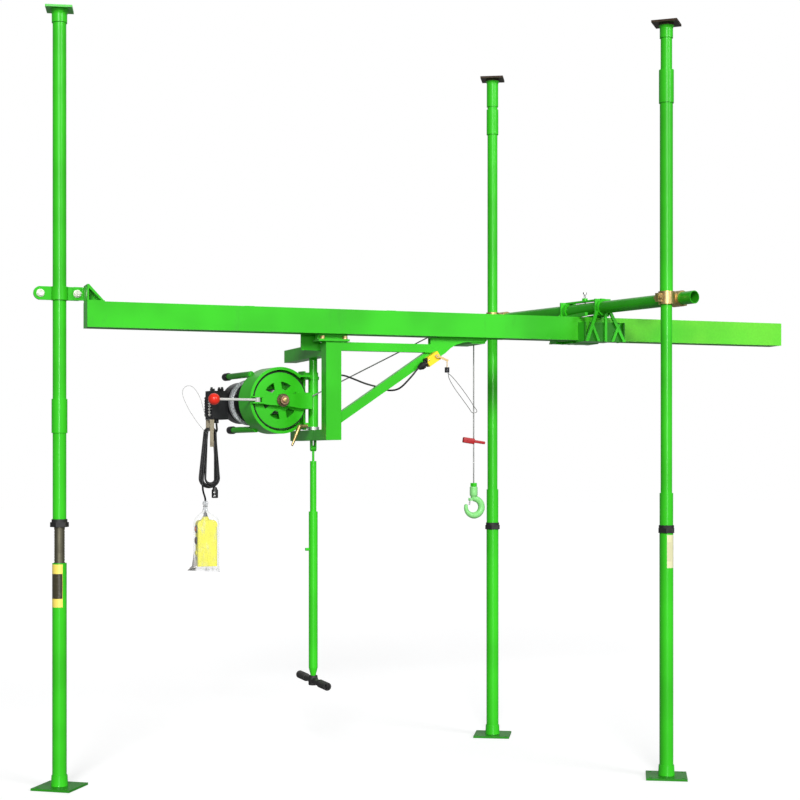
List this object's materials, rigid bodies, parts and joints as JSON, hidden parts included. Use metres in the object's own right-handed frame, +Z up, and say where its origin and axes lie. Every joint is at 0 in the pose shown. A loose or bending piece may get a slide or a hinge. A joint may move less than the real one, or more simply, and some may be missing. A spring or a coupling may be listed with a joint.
{
  "type": "column-mounted hoist crane",
  "caption": "Indoor hoist crane on floor-to-ceiling jack columns: a slotted rail carries a rolling C-frame with a jib, an electric wire-rope hoist, a hook and a hand pendant.",
  "frame": {"origin": "centre of the underside of column A's foot plate", "axes": "+X along the rail from column A, +Y away from the side with column C, +Z up"},
  "size_m": [3.0545, 1.2328, 2.79],
  "materials": {
    "green_paint": "glossy bright green enamel",
    "dark_steel": "dark grey, slightly oiled",
    "bare_steel": "bare machined steel",
    "gold_zinc": "yellow passivated zinc",
    "black_plastic": "matte black",
    "yellow_plastic": "moulded yellow",
    "red_plastic": "moulded red",
    "black_rubber": "black rubber",
    "wire": "steel wire rope",
    "motor_black": "black enamel",
    "webbing": "beige woven strap",
    "clear_bag": "thin clear film",
    "orange_plastic": "moulded orange",
    "brown_plastic": "moulded brown"
  },
  "bodies": {
    "frame": {"upright_a": "green_paint", "upright_b": "green_paint", "upright_c": "green_paint", "head_a": "green_paint", "head_b": "green_paint", "head_c": "green_paint", "clamp_front": "green_paint", "clamp_rear": "green_paint", "end_bracket": "green_paint", "rail": "green_paint", "cross_tube": "green_paint", "coupler_b": "gold_zinc", "coupler_c": "gold_zinc", "saddle": "green_paint"},
    "leg_a": {"leg_a": "green_paint", "screw_a": "bare_steel"},
    "leg_b": {"leg_b": "green_paint"},
    "leg_c": {"leg_c": "green_paint"},
    "nut_a": {"nut_a": "dark_steel"},
    "nut_b": {"nut_b": "dark_steel"},
    "nut_c": {"nut_c": "dark_steel"},
    "saddle_bolt": {"saddle_bolt": "bare_steel"},
    "carriage": {"hanger_left": "green_paint", "hanger_right": "green_paint", "c_frame": "green_paint", "round_post": "green_paint", "jib": "green_paint", "hoist_frame": "green_paint", "hoist_shell": "green_paint", "bearing_strap": "green_paint", "motor": "motor_black", "control_box": "black_plastic", "clamp_handle": "gold_zinc", "limit_box": "yellow_plastic", "limit_cable": "black_rubber", "rope_lead": "wire", "rope_fall": "wire", "cable_hank": "black_rubber", "cable_plug": "black_rubber", "hank_strap": "webbing", "pendant": "yellow_plastic", "pendant_bag": "clear_bag"},
    "rollers_1": {"wheelset_1": "bare_steel"},
    "rollers_2": {"wheelset_2": "bare_steel"},
    "rollers_3": {"wheelset_3": "bare_steel"},
    "rollers_4": {"wheelset_4": "bare_steel"},
    "sheave": {"sheave": "bare_steel"},
    "drum": {"drum": "green_paint"},
    "clutch_lever": {"clutch_lever": "bare_steel"},
    "rod_inner": {"rod_inner": "green_paint"},
    "rod_outer": {"rod_outer": "green_paint", "t_grip": "black_rubber"},
    "limit_lever": {"limit_lever": "gold_zinc", "limit_loop": "wire"},
    "hook_top": {"striker": "red_plastic", "rope_socket": "green_paint"},
    "hook": {"hook": "green_paint"},
    "latch": {"hook_latch": "bare_steel"},
    "button_up": {"button_up": "orange_plastic"},
    "button_down": {"button_down": "brown_plastic"}
  },
  "joints": [
    {"name": "leg_a_jack", "type": "slide", "parent": "frame", "child": "leg_a", "axis": [0, 0, 1], "range_m": [-0.1, 0.1]},
    {"name": "nut_a_turn", "type": "hinge", "parent": "frame", "child": "nut_a", "pos_m": [0, 0, 0.9], "axis": [0, 0, 1], "continuous": true},
    {"name": "leg_b_jack", "type": "slide", "parent": "frame", "child": "leg_b", "axis": [0, 0, 1], "range_m": [-0.1, 0]},
    {"name": "nut_b_turn", "type": "hinge", "parent": "frame", "child": "nut_b", "pos_m": [1.88, 0.455, 0.9], "axis": [0, 0, 1], "continuous": true},
    {"name": "leg_c_jack", "type": "slide", "parent": "frame", "child": "leg_c", "axis": [0, 0, 1], "range_m": [-0.1, 0]},
    {"name": "nut_c_turn", "type": "hinge", "parent": "frame", "child": "nut_c", "pos_m": [2.135, -0.575, 0.9], "axis": [0, 0, 1], "continuous": true},
    {"name": "saddle_bolt_turn", "type": "hinge", "parent": "frame", "child": "saddle_bolt", "pos_m": [2.0656, -0.045, 1.8], "axis": [0, 0, 1], "continuous": true},
    {"name": "carriage_travel", "type": "slide", "parent": "frame", "child": "carriage", "axis": [1, 0, 0], "range_m": [-0.8, 0.8]},
    {"name": "roller_1_turn", "type": "hinge", "parent": "carriage", "child": "rollers_1", "pos_m": [0.972, -0.045, 1.6759], "axis": [0, 1, 0], "continuous": true},
    {"name": "roller_2_turn", "type": "hinge", "parent": "carriage", "child": "rollers_2", "pos_m": [1.038, -0.045, 1.6759], "axis": [0, 1, 0], "continuous": true},
    {"name": "roller_3_turn", "type": "hinge", "parent": "carriage", "child": "rollers_3", "pos_m": [1.47, -0.045, 1.6759], "axis": [0, 1, 0], "continuous": true},
    {"name": "roller_4_turn", "type": "hinge", "parent": "carriage", "child": "rollers_4", "pos_m": [1.67, -0.045, 1.6759], "axis": [0, 1, 0], "continuous": true},
    {"name": "hook_travel", "type": "slide", "parent": "carriage", "child": "hook_top", "axis": [0, 0, 1], "range_m": [-0.9, 0.1], "deforming": ["rope_fall"]},
    {"name": "drum_turn", "type": "hinge", "parent": "carriage", "child": "drum", "pos_m": [0.8482, 0.17402, 1.4], "axis": [-0.1392, 0.9903, 0], "continuous": true},
    {"name": "sheave_turn", "type": "hinge", "parent": "carriage", "child": "sheave", "pos_m": [1.612, 0.105, 1.695], "axis": [0, 1, 0], "continuous": true},
    {"name": "hook_swivel", "type": "hinge", "parent": "hook_top", "child": "hook", "pos_m": [1.6476, 0.105, 1.05], "axis": [0, 0, 1], "continuous": true},
    {"name": "latch_turn", "type": "hinge", "parent": "hook", "child": "latch", "pos_m": [1.6316, 0.105, 1.014], "axis": [0, 1, 0], "range_deg": [-38, 0], "stiffness_Nm_per_rad": 0.02, "springref_deg": 28.65},
    {"name": "clutch_turn", "type": "hinge", "parent": "carriage", "child": "clutch_lever", "pos_m": [0.7561, 0.09645, 1.4], "axis": [0, 0, 1], "range_deg": [0, 25]},
    {"name": "rod_swing", "type": "hinge", "parent": "carriage", "child": "rod_inner", "pos_m": [1.005, 0.19, 1.217], "axis": [1, 0, 0], "range_deg": [-25, 25]},
    {"name": "rod_telescope", "type": "slide", "parent": "rod_inner", "child": "rod_outer", "axis": [0, 0, 1], "range_m": [0, 0.18]},
    {"name": "limit_turn", "type": "hinge", "parent": "carriage", "child": "limit_lever", "pos_m": [1.41292, -0.08, 1.56807], "axis": [0, 1, 0], "range_deg": [-12, 0]},
    {"name": "button_up_press", "type": "slide", "parent": "carriage", "child": "button_up", "axis": [1, 0, 0], "range_m": [0, 0.003], "stiffness_N_per_m": 600},
    {"name": "button_down_press", "type": "slide", "parent": "carriage", "child": "button_down", "axis": [1, 0, 0], "range_m": [0, 0.003], "stiffness_N_per_m": 600}
  ],
  "couplings": [
    {"joint": "nut_a_turn", "follows": "leg_a_jack", "rad_per_m": -628.32},
    {"joint": "nut_b_turn", "follows": "leg_b_jack", "rad_per_m": -628.32},
    {"joint": "nut_c_turn", "follows": "leg_c_jack", "rad_per_m": -628.32},
    {"joint": "roller_1_turn", "follows": "carriage_travel", "rad_per_m": 40},
    {"joint": "roller_2_turn", "follows": "carriage_travel", "rad_per_m": 40},
    {"joint": "roller_3_turn", "follows": "carriage_travel", "rad_per_m": 40},
    {"joint": "roller_4_turn", "follows": "carriage_travel", "rad_per_m": 40},
    {"joint": "drum_turn", "follows": "hook_travel", "rad_per_m": 20.367},
    {"joint": "sheave_turn", "follows": "hook_travel", "rad_per_m": -28.09}
  ]
}
